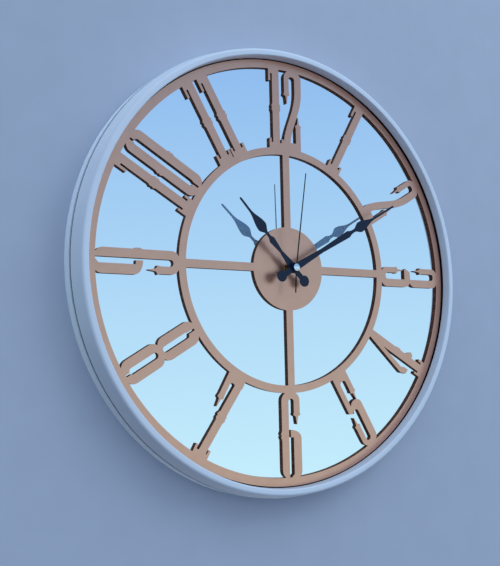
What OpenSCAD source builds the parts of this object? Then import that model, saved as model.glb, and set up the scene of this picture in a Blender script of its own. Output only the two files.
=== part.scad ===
// Round mirror wall clock: a white moulded frame, a mirror, a cut-out copper dial
// with numerals, three hands and a battery movement with its gear train.
// It is drawn lying on its back: x right, y up the dial, z from the wall to the viewer.

/* [Frame] */
// Radius of the rear ring, the widest part
rim_r = 250; // [235:1:270]
// Width of the frame seen from the front
frame_w = 12.4; // [11.4:0.1:15]
// How far the front frame steps in from the rear ring
rim_step = 2.2; // [0.8:0.1:2.6]
// Height of the frame's crest above the dial face
lip_h = 12.5; // [8:0.5:18]
// Rounding of the inner edge of the crest
crest_round = 2.4; // [1:0.1:3]
// Height of the joint between front frame and rear ring above the wall
parting_h = 13; // [8:0.1:15]
// Straight height of the frame's side above the joint
side_h = 2.8; // [1:0.1:6]
// Width and depth of the groove along the joint
groove_w = 0.5; // [0.4:0.1:1.4]
// Wall thickness of the mouldings
wall_t = 2.6; // [1.8:0.1:3.2]
// Rounding bevel of the rear edge
rim_bevel = 1; // [0.4:0.1:2]
// Thickness of the rear ring's flange
flange_t = 3; // [2.4:0.1:4]
// Distance from the opening in to the clamping rib
clamp_in = 12.6; // [11:0.1:18]
// Width of the clamping rib
clamp_w = 2.4; // [1.6:0.1:4]
// Width of the flange inside the clamping rib
flange_lip = 3; // [1:0.5:12]

/* [Frame screws] */
// Number of screws round the frame
screw_count = 8; // [4:1:12]
// Shank diameter of a frame screw
screw_d = 2.9; // [2.2:0.1:3.2]
// Head diameter of a frame screw
screw_head_d = 5.4; // [4.6:0.1:6]
// Head height of a frame screw
screw_head_t = 1.5; // [1:0.1:1.8]
// Length of a frame screw under its head
screw_len = 11; // [8:0.5:14]
// Diameter of the posts that take the screws
post_d = 5.2; // [5:0.1:6]
// Depth of the cross slot in a screw head
drive_t = 0.7; // [0.3:0.1:0.9]

/* [Hanger] */
// Radius of the round hole that passes over a nail's head
nail_hole_r = 4.5; // [4:0.1:5]
// Width of the slot that rests on the nail
nail_slot_w = 4.4; // [3:0.1:5]
// Travel from the round hole up to the nail's seat
nail_travel = 6; // [5:0.1:7]
// Thickness of the hanger plate
hanger_t = 1.2; // [0.8:0.1:1.6]
// Width of the hanger plate
hanger_w = 38; // [34:1:50]
// Distance between the hanger's screws
hanger_pitch = 28; // [25:1:32]
// Diameter of the hanger's screws
hanger_screw_d = 2.6; // [2:0.1:3]

/* [Mirror and board] */
// Thickness of the mirror
mirror_t = 3; // [2:0.5:5]
// How far the mirror reaches under the frame
mirror_lap = 2.2; // [1.6:0.1:2.5]
// Thickness of the backing board
board_t = 2.5; // [2:0.5:4]
// Clearance of the board round the movement
board_gap = 1; // [0.5:0.1:2]

/* [Dial] */
// Thickness of the cut-out dial
dial_t = 3; // [2:0.5:4]
// Gap between the dial and the frame
dial_gap = 1.2; // [0.8:0.1:4]
// Depth of the foam strip in that gap below the dial face
strip_drop = 0.4; // [0.2:0.1:1.5]
// Width of the outer ring
outer_ring_w = 9.1; // [5:0.1:12]
// Outer radius of the inner ring
inner_ring_r = 137; // [125:0.1:150]
// Width of the inner ring
inner_ring_w = 8.3; // [5:0.1:12]
// Radius of the central disc
disc_r = 46.4; // [35:0.1:60]
// Width of the four spokes
spoke_w = 8.8; // [4:0.1:12]
// Radius that the cutting beam leaves in inner corners
beam_r = 0.2; // [0.1:0.05:0.3]

/* [Numerals] */
// Width of a main stroke
stem_w = 9.2; // [7:0.1:10]
// Width of a secondary stroke
arm_w = 6.6; // [5:0.1:7]
// Half width of a round numeral
bowl_w = 12.8; // [12:0.1:14]
// Radius of a round numeral's corners
bowl_r = 9; // [6:0.5:11]
// How far a round numeral reaches into the rings
bowl_root = 1; // [0.6:0.1:2]
// Width of the fine slots beside flags and feet
slot_w = 2.2; // [1.4:0.1:2.6]
// Width of flags and prongs
flag_w = 2.8; // [2:0.1:3.4]
// Length of a flag below the ring
flag_h = 14.5; // [10:0.5:18]
// Height of a prong above the ring
prong_h = 9.5; // [7:0.5:14]
// Thickness of flags and feet where they join the stroke
serif_t = 6; // [4:0.5:6.5]
// Length of a pointed stroke end
point_len = 13.5; // [8:0.5:15]
// Length of a numeral's side arm from its ring
side_arm = 24.5; // [20:0.5:28]
// Inset of the narrower numerals 2, 3, 5 and 7
narrow = 2; // [1:0.1:3]
// Radius of the corners inside a numeral
counter_r = 3.2; // [1:0.1:4]
// Reach of the spurs at half height
spur_d = 1.5; // [0.8:0.1:2]

/* [Hands] */
// Length of the hour hand
hour_len = 101; // [85:1:115]
// Length of the minute hand
minute_len = 161; // [140:1:180]
// Length of the second hand
second_len = 104; // [80:1:120]
// Direction of the hour hand, clockwise from 12
hour_angle = 314.5; // [0:0.5:360]
// Direction of the minute hand, clockwise from 12
minute_angle = 60.5; // [0:0.5:360]
// Direction of the second hand, clockwise from 12
second_angle = 3.8; // [0:0.1:360]
// Height of the hour hand above the dial face
hour_h = 8.9; // [8:0.1:9.4]
// Gap from the hour hand up to the minute hand at the hub
minute_lift = 2.4; // [2.3:0.1:3]
// Gap from the minute hand up to the second hand at the hub
second_lift = 2.1; // [1.9:0.1:3]
// Upward slope of the hour hand, degrees
hour_rise = 4; // [0:0.1:4.2]
// Upward slope of the minute hand, degrees
minute_rise = 3.2; // [3:0.1:3.4]
// Upward slope of the second hand, degrees
second_rise = 7; // [4:0.5:9]
// Thickness of the hour and minute hands
hand_t = 0.6; // [0.4:0.1:0.8]
// Radius of the hour hand's hub
hour_hub_r = 6; // [5:0.1:7]
// Radius of the minute hand's hub
minute_hub_r = 5; // [4.2:0.1:6]
// Radius of the round tail of the hour and minute hands
tail_r = 6.3; // [4:0.1:7.5]
// Distance from the hub to the centre of a round tail
tail_len = 20.2; // [16:0.1:22]
// Width of the second hand at the hub
second_w = 1.5; // [1:0.1:2]
// Radius of the second hand's hub
second_hub_r = 1.8; // [1.5:0.1:2.4]
// Half width of a spade at its widest
spade_w = 6.2; // [5:0.1:7.5]
// Length of a spade behind its widest point
spade_back = 10; // [8:0.5:13]
// Length of a spade from its widest point to the needle
spade_front = 23; // [18:0.5:28]
// Distance from a spade's widest point back to the knop
knop_back = 17.5; // [14:0.5:20]
// Half width of the needle where it leaves the spade
needle_w = 1.3; // [0.9:0.1:1.6]
// Half width of the hour hand's neck
hour_neck = 1.5; // [1.2:0.1:2]
// Half width of the hour hand's waist
hour_waist = 1.7; // [1.4:0.1:2.4]
// Half width of the minute hand's neck
minute_neck = 1.8; // [1.2:0.1:2.2]
// Half width of the minute hand's waist
minute_waist = 2.4; // [1.8:0.1:3]
// Length of the second hand's tail
second_tail = 28; // [18:1:32]
// Radius of the cap on the second hand
cap_r = 4; // [3:0.1:4.6]
// Height of the cap
cap_h = 1.6; // [1:0.1:3]

/* [Movement case] */
// Thickness of the movement case with its cover
case_t = 16; // [16:0.1:18]
// Gap from the movement to the wall
wall_gap = 0.5; // [0.3:0.1:2]
// Corner radius of the movement case
case_round = 3; // [1.5:0.5:5]
// Wall thickness of the movement case
case_wall = 1.3; // [1:0.1:1.4]
// Thickness of the case floor behind the mirror
floor_t = 1.4; // [1.3:0.1:1.8]
// Thickness of the movement cover
cover_t = 1.5; // [1.2:0.1:1.8]
// Thickness of the plate that carries the train
plate_t = 0.8; // [0.6:0.1:1]
// Thickness of the rubber gasket
gasket_t = 0.5; // [0.3:0.1:1]
// Radius of the rubber gasket
gasket_r = 11; // [8:0.5:14]
// Radius of the threaded bush
bush_r = 4; // [3.8:0.1:4.5]
// Thickness of the washer under the nut
washer_t = 0.6; // [0.4:0.1:1]
// Thickness of the nut
nut_t = 2.2; // [1.6:0.1:2.4]
// Width of the nut across its flats
nut_af = 10; // [9.6:0.1:12]

/* [Battery] */
// Diameter of the battery
battery_d = 14.2; // [13.5:0.1:14.3]
// Length of the battery's body
battery_len = 49.2; // [46:0.1:49.4]
// Diameter of the battery's button
button_d = 5.4; // [4:0.1:5.6]
// Height of the battery's button
button_h = 1.2; // [0.8:0.1:1.4]
// Thickness of the contact strips
contact_t = 0.4; // [0.3:0.1:0.5]
// Least room for the spring leaf at the battery's flat end
spring_w = 2.6; // [1.6:0.1:6]

/* [Train] */
// Radius of the seconds arbor
arbor_r = 0.5; // [0.4:0.01:0.55]
// Radius of the minute tube
minute_tube_r = 1.5; // [1.4:0.01:1.55]
// Radius of the hour tube
hour_tube_r = 2.5; // [2.4:0.01:2.6]
// Radius of the other arbors
pivot_r = 0.5; // [0.4:0.01:0.6]
// Thickness of the wheels
wheel_t = 0.9; // [0.6:0.05:1]
// Direction of the third wheel from the centre, degrees
third_dir = 150; // [140:1:160]
// Direction of the motion wheel from the centre, degrees
motion_dir = 30; // [25:1:40]
// Direction of the intermediate wheel from the centre, degrees
inter_dir = 80; // [78:1:84]
// Direction of the rotor from the intermediate wheel, degrees
rotor_dir = 100; // [96:1:104]
// Direction of the setting knob from the motion wheel, degrees
knob_dir = 75; // [65:1:80]
// Radius of the setting knob
knob_r = 4.6; // [4:0.1:5]
// Radius of the rotor's magnet
magnet_r = 2.2; // [1.8:0.1:2.3]

/* [Fits] */
// Running clearance of shafts in their holes
run_fit = 0.08; // [0.05:0.01:0.1]
// Clearance of pieces that sit tightly in each other
seat_fit = 0.05; // [0.02:0.01:0.1]
// Free clearance between pieces that must not touch
free_fit = 0.4; // [0.3:0.05:0.5]

/* [Hidden] */
$fn = 96;

// Levels above the wall
case_z = wall_gap;
cover_z = case_z + cover_t;
floor_z = case_z + case_t;
inside_z = floor_z - floor_t;
mirror_z = floor_z + gasket_t;
dial_z = mirror_z + mirror_t;
face_z = dial_z + dial_t;
crest_z = face_z + lip_h;
board_z = mirror_z - board_t;
side_z = parting_h + side_h;

// Radii of the frame, mirror and dial
frame_r = rim_r - rim_step;
opening_r = rim_r - frame_w;
mirror_r = opening_r + mirror_lap;
board_r = mirror_r - free_fit;
clamp_r = opening_r - clamp_in;
flange_r = clamp_r - flange_lip;
dial_r = opening_r - dial_gap;
ring_r = dial_r - outer_ring_w;
post_r = mirror_r + 2 * free_fit + post_d / 2;
rim_in_r = post_r + post_d / 2 + free_fit;

// Hanger: the round hole's centre is the origin of the clock
nail_head_r = nail_hole_r - free_fit;
hang_r = rim_in_r - free_fit - nail_head_r - nail_travel;
hanger_low = clamp_r + clamp_w + free_fit;
hanger_high = rim_in_r + free_fit;

// Numerals reach from ring to ring and root in both
num_h = ring_r - inner_ring_r;
num_mid = num_h / 2;
root = 3;
arc_n = 6;
dial_sides = 180;

// Wheels of the going train and of the setting train
teeth_pinion = 8;
teeth_third = 60;
teeth_centre = 64;
teeth_inter_pinion = 10;
teeth_seconds = 50;
teeth_inter = 48;
teeth_cannon = 12;
teeth_motion = 36;
teeth_motion_pinion = 10;
teeth_hour = 40;
train_c = 10.9;
inter_c = 10.8;
rotor_c = 8.96;
motion_c = 11.8;
function module_of(c, a, b) = 2 * c / (a + b);
m_third = module_of(train_c, teeth_pinion, teeth_third);
m_centre = module_of(train_c, teeth_pinion, teeth_centre);
m_seconds = module_of(inter_c, teeth_inter_pinion, teeth_seconds);
m_inter = module_of(rotor_c, teeth_pinion, teeth_inter);
m_motion = module_of(motion_c, teeth_cannon, teeth_motion);
m_hour = module_of(motion_c, teeth_motion_pinion, teeth_hour);

// Depth below and height above the pitch circle in modules, and half widths in degrees per tooth
tooth_root = 1.2;
wheel_tip = 0.9;
pinion_tip = 0.5;
wheel_half = 84;
pinion_half = 66;

// Places of the arbors
function polar(c, a) = [c * cos(a), c * sin(a)];
third_at = polar(train_c, third_dir);
motion_at = polar(motion_c, motion_dir);
inter_at = polar(inter_c, inter_dir);
rotor_at = inter_at + polar(rotor_c, rotor_dir);
knob_at = motion_at + polar(motion_c, knob_dir);

// Levels of the train, from the cover forwards
level_gap = 0.7;
cover_gap = 1;
inter_z = cover_z + cover_gap;
seconds_z = inter_z + wheel_t + level_gap;
third_z = seconds_z + wheel_t + level_gap;
plate_z = third_z + wheel_t + level_gap;
centre_z = plate_z + plate_t + level_gap;
motion_z = centre_z + wheel_t + level_gap;
hour_z = inside_z - level_gap - wheel_t;
pivot_depth = 0.8;

// Levels of the hands and the ends of their tubes
hour_hand_z = face_z + hour_h;
minute_hand_z = hour_hand_z + hand_t + minute_lift;
second_hand_z = minute_hand_z + hand_t + second_lift;
second_t = 0.5;
tube_over = 0.4;
collar_w = 2;
hour_collar = 3;
minute_collar = minute_lift - tube_over - free_fit;
second_collar = second_lift - tube_over - free_fit;
bush_over = 0.7;
bush_flange = 1.5;
bush_end = face_z + washer_t + nut_t + bush_over;

// Rotor's magnet, with the sheet round it and the coil above it
magnet_z0 = seconds_z;
magnet_z1 = third_z + wheel_t / 2;
sheet_t = 0.6;
sheet_edge = 0.5;
coil_z = (magnet_z0 + magnet_z1) / 2;
coil_r = plate_z - coil_z - free_fit;
sheet_top = rotor_at[1] + magnet_r + free_fit + sheet_edge;
coil_y = sheet_top + free_fit / 2 + coil_r;

// The case closes round the train, the coil and the battery in its bay below
train_r = max([for (w = [[m_centre, teeth_centre], [m_hour, teeth_hour], [m_seconds, teeth_seconds]])
    w[0] * (w[1] / 2 + wheel_tip)]);
bay_half = max(coil_y + coil_r + free_fit, (battery_len + button_h + contact_t + spring_w) / 2);
case_half = bay_half + case_wall;
bay_top = -train_r - free_fit;
case_low = bay_top - 2 * case_wall - battery_d - 2 * free_fit;
bay_y = case_low + case_wall + free_fit + battery_d / 2;
bay_z = inside_z - free_fit / 2 - battery_d / 2;
leaf_w = 2 * bay_half - battery_len - button_h - contact_t;

// Shared shapes

// Stands the clock up: the dial faces -Y and the nail's hole is at the origin
module place() {
    translate([0, 0, -hang_r]) rotate([90, 0, 0]) children();
}

// A ring or disc between two heights
module disc(r, z0, z1) {
    translate([0, 0, z0]) cylinder(r = r, h = z1 - z0);
}

// Copies on a circle, the first half a step past the top
module around(count, r) {
    for (i = [0:count - 1]) rotate(360 / count * (i + 0.5)) translate([0, r, 0]) children();
}

// A plain rectangle from corner to corner
module bar(x0, x1, y0, y1) {
    translate([x0, y0]) square([x1 - x0, y1 - y0]);
}

function corner(x, y, r, a) =
    [for (i = [0:arc_n]) [x + r * cos(a + 90 * i / arc_n), y + r * sin(a + 90 * i / arc_n)]];

// A rectangle with round corners, as large as its sides allow
module rounded(x0, x1, y0, y1, radius) {
    r = min(radius, 0.49 * min(x1 - x0, y1 - y0));
    polygon(concat(corner(x1 - r, y1 - r, r, 0), corner(x0 + r, y1 - r, r, 90),
        corner(x0 + r, y0 + r, r, 180), corner(x1 - r, y0 + r, r, 270)));
}

// Outline of a moulded box with true round corners
module soft_square(x0, x1, y0, y1, r) {
    bar(x0 + r, x1 - r, y0, y1);
    bar(x0, x1, y0 + r, y1 - r);
    for (x = [x0 + r, x1 - r]) for (y = [y0 + r, y1 - r]) translate([x, y]) circle(r);
}

// Frame

// Quarter of the frame's crest, from its top out to the side, inset by a wall
function crest_curve(inset) = [for (i = [0:16]) let (a = 90 * i / 16)
    [opening_r + crest_round + (frame_r - opening_r - crest_round - inset) * sin(a),
     side_z + (crest_z - side_z - inset) * cos(a)]];

module frame_profile() {
    inner_edge = [for (i = [0:6]) let (a = 180 - 15 * i)
        [opening_r + crest_round + crest_round * cos(a), crest_z - crest_round + crest_round * sin(a)]];
    inside = crest_curve(wall_t);
    polygon(concat([[opening_r, dial_z]], inner_edge, crest_curve(0),
        [[frame_r, parting_h + groove_w], [frame_r - groove_w, parting_h + groove_w],
         [frame_r - groove_w, parting_h], [frame_r - wall_t, parting_h]],
        [for (i = [16:-1:1]) inside[i]],
        [[opening_r + wall_t, inside[1][1]], [opening_r + wall_t, dial_z]]));
}

// The post runs from the flange up into the hollow of the frame, tied to its side
post_top = face_z - free_fit;
module post() {
    disc(post_d / 2, flange_t, post_top);
    web_w = post_d / 3;
    translate([-web_w / 2, 0, parting_h])
        cube([web_w, frame_r - wall_t / 2 - post_r, post_top - parting_h]);
}

module front_frame() {
    color("whitesmoke") difference() {
        union() {
            rotate_extrude() frame_profile();
            around(screw_count, post_r) post();
        }
        around(screw_count, post_r)
            disc(screw_d / 2 + seat_fit, 0, screw_head_t + screw_len + free_fit);
    }
}

module ring_profile() {
    polygon([[flange_r, 0], [rim_r - rim_bevel, 0], [rim_r, rim_bevel], [rim_r, parting_h],
        [rim_in_r, parting_h], [rim_in_r, flange_t], [clamp_r + clamp_w, flange_t],
        [clamp_r + clamp_w, board_z], [clamp_r, board_z], [clamp_r, flange_t],
        [flange_r, flange_t]]);
}

module rear_ring() {
    nail_room = nail_head_r + free_fit;
    color("gainsboro") difference() {
        union() {
            rotate_extrude() ring_profile();
            for (x = [-1, 1]) translate([x * hanger_pitch / 2, hang_r])
                disc(hanger_screw_d, flange_t - free_fit, 2 * flange_t);
        }
        around(screw_count, post_r) {
            disc(screw_d / 2 + free_fit / 2, -1, flange_t + 1);
            disc(screw_head_d / 2 + free_fit / 2, -1, screw_head_t);
        }
        translate([-hanger_w / 2 - seat_fit, hanger_low - seat_fit, -1])
            cube([hanger_w + 2 * seat_fit, hanger_high - hanger_low + 2 * seat_fit, hanger_t + 1]);
        translate([-nail_room, hang_r - nail_room, 0])
            cube([2 * nail_room, rim_in_r - hang_r + nail_room, flange_t + 1]);
        for (x = [-1, 1]) translate([x * hanger_pitch / 2, hang_r])
            disc(hanger_screw_d / 2 + seat_fit, 0, 2 * flange_t - free_fit);
    }
}

// A pan-head screw pointing up, its head's underside at z = 0
module pan_screw(d, length, head_d, head_t) {
    drive = min(drive_t, head_t / 2);
    difference() {
        union() {
            disc(d / 2, 0, length);
            disc(head_d / 2, -head_t, 0);
        }
        for (a = [0, 90]) rotate(a) translate([-head_d / 3, -head_t / 4, -head_t - 1])
            cube([head_d * 2 / 3, head_t / 2, 1 + drive]);
    }
}

module frame_screws() {
    color("silver") around(screw_count, post_r)
        translate([0, 0, screw_head_t]) pan_screw(screw_d, screw_len, screw_head_d, screw_head_t);
}

module hanger_plate() {
    color("silver") difference() {
        translate([-hanger_w / 2, hanger_low, 0])
            cube([hanger_w, hanger_high - hanger_low, hanger_t]);
        translate([0, hang_r]) disc(nail_hole_r, -1, hanger_t + 1);
        translate([0, hang_r + nail_travel]) disc(nail_slot_w / 2, -1, hanger_t + 1);
        translate([-nail_slot_w / 2, hang_r, -1]) cube([nail_slot_w, nail_travel, hanger_t + 2]);
        for (x = [-1, 1]) translate([x * hanger_pitch / 2, hang_r]) {
            disc(hanger_screw_d / 2 + seat_fit, -1, hanger_t + 1);
            disc(hanger_screw_d + seat_fit, -1, hanger_t / 2);
        }
    }
}

module hanger_screws() {
    color("silver") for (x = [-1, 1]) translate([x * hanger_pitch / 2, hang_r, hanger_t / 2])
        pan_screw(hanger_screw_d, 2 * flange_t - hanger_t, 2 * hanger_screw_d, hanger_t / 2);
}

// Mirror and board

module mirror() {
    color("lightblue") difference() {
        disc(mirror_r, mirror_z, dial_z);
        disc(bush_r + free_fit, mirror_z - 1, dial_z + 1);
    }
}

module backing_board() {
    half = case_half + board_gap;
    low = case_low - board_gap;
    color("peru") difference() {
        disc(board_r, board_z, mirror_z);
        translate([-half, low, board_z - 1]) cube([2 * half, half - low, board_t + 2]);
    }
}

// Numerals: each digit stands on y = 0 and reaches up to num_h

// Two small spurs at half height on one edge of a stroke
module spurs(x, side) {
    h = 3.4 * spur_d;
    polygon([[x - side, num_mid + h], [x, num_mid + h], [x + side * spur_d, num_mid + h / 3],
        [x + side * spur_d / 3, num_mid], [x + side * spur_d, num_mid - h / 3],
        [x, num_mid - h], [x - side, num_mid - h]]);
}

// A pointed end with two barbs, up for side 1 and down for side -1
module pointed(x, y, side, w) {
    barb = point_len / 4;
    half = [[w / 2, -side], [w / 2, 0], [w / 2 + spur_d / 2, side * barb],
        [w / 5, side * barb * 1.5], [slot_w / 8, side * point_len]];
    translate([x, y]) polygon(concat(half, [for (i = [4:-1:0]) [-half[i][0], half[i][1]]]));
}

// Foot of a straight stroke with a prong on each side
module foot(x) {
    reach = stem_w / 2 + slot_w + flag_w;
    bar(x - reach, x + reach, -root, serif_t - slot_w / 2);
    for (side = [-1, 1]) {
        edge = x + side * (reach - flag_w / 2);
        bar(edge - flag_w / 2, edge + flag_w / 2, 0, prong_h);
    }
}

module one() {
    flag_x = -stem_w / 2 - slot_w - flag_w;
    bar(-stem_w / 2, stem_w / 2, -root, num_h + root);
    bar(flag_x, 0, num_h - serif_t, num_h + root);
    bar(flag_x, flag_x + flag_w, num_h - flag_h, num_h);
    spurs(-stem_w / 2, -1);
    spurs(stem_w / 2, 1);
    foot(0);
}

arm_top = num_h - side_arm;
arm_low = side_arm;
counter_x0 = -bowl_w + arm_w;
counter_x1 = bowl_w - stem_w;

module two() {
    x0 = -bowl_w + narrow;
    x1 = bowl_w - narrow;
    difference() {
        rounded(x0, bowl_w, num_mid, num_h + bowl_root, bowl_r);
        bar(-bowl_w, bowl_w + 1, num_mid - 1, arm_top);
        rounded(x0 + arm_w, counter_x1, arm_top - bowl_r, num_h - serif_t, counter_r);
    }
    pointed(x0 + arm_w / 2, arm_top, -1, arm_w);
    // The diagonal swings from the bowl to the foot on a cosine
    steps = 10;
    swing = [for (i = [0:steps]) let (t = i / steps)
        [(bowl_w - stem_w / 2) * cos(180 * t) - (1 - cos(180 * t)) / 4, (arm_top + 1) * (1 - t)]];
    polygon(concat([for (p = swing) [p[0] + stem_w / 2, p[1]]],
        [for (i = [steps:-1:0]) [swing[i][0] - stem_w / 2, swing[i][1]]]));
    bar(-bowl_w, x1, -root, serif_t + 1);
    bar(x1 - arm_w, x1, 0, arm_low);
    pointed(x1 - arm_w / 2, arm_low, 1, arm_w);
}

// The two bowls of the 3 and the 8 meet at half height
module two_bowls(x0) {
    rounded(x0, bowl_w, num_mid - 1, num_h + bowl_root, bowl_r);
    rounded(x0, bowl_w, -bowl_root, num_mid + 1, bowl_r);
}

module three() {
    tongue_h = 0.95 * stem_w;
    x0 = -bowl_w + narrow;
    arm_end = arm_low - 2 * narrow;
    difference() {
        two_bowls(x0);
        bar(-bowl_w, counter_x1, arm_end, arm_top);
        rounded(x0 + arm_w, counter_x1, arm_top - bowl_r, num_h - serif_t, counter_r);
        rounded(x0 + arm_w, counter_x1, serif_t, arm_end + bowl_r, counter_r);
    }
    polygon([[counter_x1 + 1, num_mid + 1], [-0.45 * bowl_w, num_mid],
        [-0.75 * bowl_w, num_mid - 0.75 * tongue_h], [-0.65 * bowl_w, num_mid - tongue_h],
        [counter_x1 + 1, num_mid - tongue_h]]);
    pointed(x0 + arm_w / 2, arm_top, -1, arm_w);
    pointed(x0 + arm_w / 2, arm_end, 1, arm_w);
}

module four() {
    cross_y = 0.3 * num_h;
    far_x = -1.5 * bowl_w;
    bar(-stem_w / 2, stem_w / 2, -root, num_h + root);
    end_x = far_x + arm_w + narrow;
    polygon([[-stem_w / 2 + 1, num_h + root], [-stem_w / 2, num_h - 1], [far_x, cross_y + narrow],
        [far_x + flag_w, cross_y - serif_t], [end_x, cross_y - 1.2 * serif_t], [end_x, cross_y],
        [far_x + arm_w, cross_y + 2 * narrow], [-stem_w / 2, 0.75 * num_h],
        [-stem_w / 2 + 1, 0.75 * num_h]]);
    translate([stem_w / 2, cross_y]) polygon([[-1, serif_t], [0, serif_t], [flag_w, narrow],
        [serif_t, -slot_w], [flag_w + spur_d / 2, -serif_t], [-1, -serif_t]]);
    spurs(stem_w / 2, 1);
    foot(0);
}

module five() {
    bowl_top = num_mid + 1.14 * stem_w;
    x0 = -bowl_w + narrow;
    x1 = bowl_w - narrow;
    arm_end = arm_top + narrow;
    difference() {
        bar(x0, x1, arm_end, num_h + root);
        rounded(x0 + arm_w, x1 - arm_w, arm_end - bowl_r, num_h - serif_t - narrow, counter_r);
    }
    pointed(x1 - arm_w / 2, arm_end, -1, arm_w);
    bar(x0, x0 + arm_w, num_mid, num_h);
    polygon([[x0, num_mid + 1], [x0, num_mid], [x0 + 0.75 * arm_w, num_mid - flag_w],
        [x0 + arm_w, num_mid + 1]]);
    difference() {
        union() {
            rounded(x0 + arm_w - 1, bowl_w - 1, -bowl_root, bowl_top, bowl_r);
            rounded(x0, bowl_w - 1, -bowl_root, num_mid, bowl_r);
        }
        rounded(x0 + arm_w, counter_x1 - 1, serif_t - 1, num_mid, counter_r);
        bar(x0 - 1, x0 + arm_w, arm_low, num_mid);
    }
    pointed(x0 + arm_w / 2, arm_low, 1, arm_w);
}

module six() {
    bowl_top = num_mid + 0.6 * stem_w;
    bowl_x = -bowl_w + stem_w + slot_w;
    hook_w = 1.2 * arm_w;
    hook_x = bowl_w - spur_d;
    hook_y = arm_top + 2 * narrow;
    difference() {
        rounded(-bowl_w, hook_x, -bowl_root, num_h + bowl_root, bowl_r);
        bar(-bowl_w + stem_w, bowl_w, -root - 1, hook_y);
        rounded(-bowl_w + stem_w, hook_x - hook_w, hook_y - bowl_r, num_h - serif_t, counter_r);
    }
    pointed(hook_x - hook_w / 2, hook_y, -1, hook_w);
    // The bowl closes in one long curve that rises to a tip beside the stem
    curve = [for (i = [0:arc_n]) let (a = 90 * i / arc_n)
        [bowl_x + (bowl_w - bowl_x) * sin(a), bowl_top - stem_w * (1 - cos(a))]];
    difference() {
        union() {
            rounded(bowl_x, bowl_w, -bowl_root, num_mid, bowl_r);
            polygon(concat(curve, [[bowl_w, stem_w], [bowl_x, stem_w]]));
        }
        bar(bowl_x - 1, counter_x1 - 1, -root - 1, bowl_top - bowl_r + 1);
    }
    polygon([[bowl_x, -root], [bowl_x, 0], [counter_x1, 2 * slot_w], [counter_x1, -root]]);
    spurs(-bowl_w, -1);
}

module seven() {
    foot_x = -narrow;
    head_x = bowl_w - narrow - stem_w / 2;
    x0 = -bowl_w + narrow / 2;
    head_y = num_h - serif_t - narrow;
    bar(x0, bowl_w - narrow, head_y, num_h + root);
    difference() {
        bar(x0, head_x, arm_top, num_h);
        rounded(x0 + arm_w, head_x - stem_w / 2, arm_top - bowl_r, head_y, counter_r);
    }
    pointed(x0 + arm_w / 2, arm_top, -1, arm_w);
    polygon([[head_x - stem_w / 2, num_h], [head_x + stem_w / 2, num_h],
        [foot_x + stem_w / 2, -root], [foot_x - stem_w / 2, -root]]);
    mid_x = (head_x + foot_x) / 2;
    spurs(mid_x - stem_w / 2, -1);
    spurs(mid_x + stem_w / 2, 1);
    foot(foot_x);
}

// A closed bowl of the 8 and 0: a tall counter and a fine slot into the ring
module counter(y0, y1, slot_up) {
    half = bowl_w - stem_w - slot_w / 6;
    rounded(-half, half, y0, y1, counter_r);
    if (slot_up) bar(-slot_w, 0, y1 - counter_r, num_h - 1);
    else bar(0, slot_w, 1, y0 + counter_r);
}

module eight() {
    difference() {
        two_bowls(-bowl_w);
        counter(num_mid + flag_w, num_h - serif_t - flag_w, true);
        counter(serif_t, num_mid - 2 * narrow, false);
    }
}

module nine() {
    translate([0, num_h]) rotate(180) six();
}

module zero() {
    difference() {
        rounded(-bowl_w, bowl_w, -bowl_root, num_h + bowl_root, bowl_r);
        counter(serif_t + narrow, num_h - serif_t, true);
        counter(serif_t + narrow, num_h - serif_t, false);
    }
    spurs(-bowl_w, -1);
    spurs(bowl_w, 1);
}

// Half the distance between the two digits of 10, 11 and 12
digit_step = [12.2, 10.2, 11.3];

module numeral(hour) {
    pair = digit_step[max(0, hour - 10)];
    if (hour == 1) one();
    if (hour == 2) two();
    if (hour == 3) three();
    if (hour == 4) four();
    if (hour == 5) five();
    if (hour == 6) six();
    if (hour == 7) seven();
    if (hour == 8) eight();
    if (hour == 9) nine();
    if (hour >= 10) translate([-pair, 0]) one();
    if (hour == 10) translate([pair, 0]) zero();
    if (hour == 11) translate([pair, 0]) one();
    if (hour == 12) translate([pair, 0]) two();
}

// Side shift of each numeral off its hour line, from 12 round to 11
numeral_shift = [-0.6, -1.5, 0, 1.5, -2.5, -2, -1.2, -0.5, 0, -1.5, 0, -0.6];

// The numerals from 4 to 8 have their tops towards the centre, so that none is upside down
module dial_outline() {
    difference() {
        circle(dial_r, $fn = dial_sides);
        circle(ring_r, $fn = dial_sides);
    }
    difference() {
        circle(inner_ring_r, $fn = dial_sides);
        circle(inner_ring_r - inner_ring_w, $fn = dial_sides);
    }
    circle(disc_r, $fn = dial_sides);
    for (a = [0, 90, 180, 270]) rotate(a)
        bar(-spoke_w / 2, spoke_w / 2, disc_r - root, inner_ring_r - inner_ring_w + root);
    for (hour = [1:12]) rotate(-30 * hour) {
        shift = numeral_shift[hour % 12];
        if (hour >= 4 && hour <= 8) translate([-shift, ring_r]) rotate(180) numeral(hour);
        else translate([shift, inner_ring_r]) numeral(hour);
    }
}

module dial_plate() {
    color("rosybrown") translate([0, 0, dial_z]) linear_extrude(dial_t)
        offset(r = -beam_r, $fn = 8) offset(delta = beam_r) difference() {
            dial_outline();
            circle(bush_r + free_fit, $fn = dial_sides / 4);
        }
}

// Black foam that centres the dial in the frame and closes the gap between them
module edge_strip() {
    color("black") difference() {
        disc(opening_r - seat_fit, dial_z, face_z - strip_drop);
        disc(dial_r + seat_fit, dial_z - 1, face_z);
    }
}

// Hands

// A width that swells smoothly from one value to another as t goes from 0 to 1
function swell(from, to, t) = from + (to - from) * (1 - cos(180 * t)) / 2;

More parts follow.
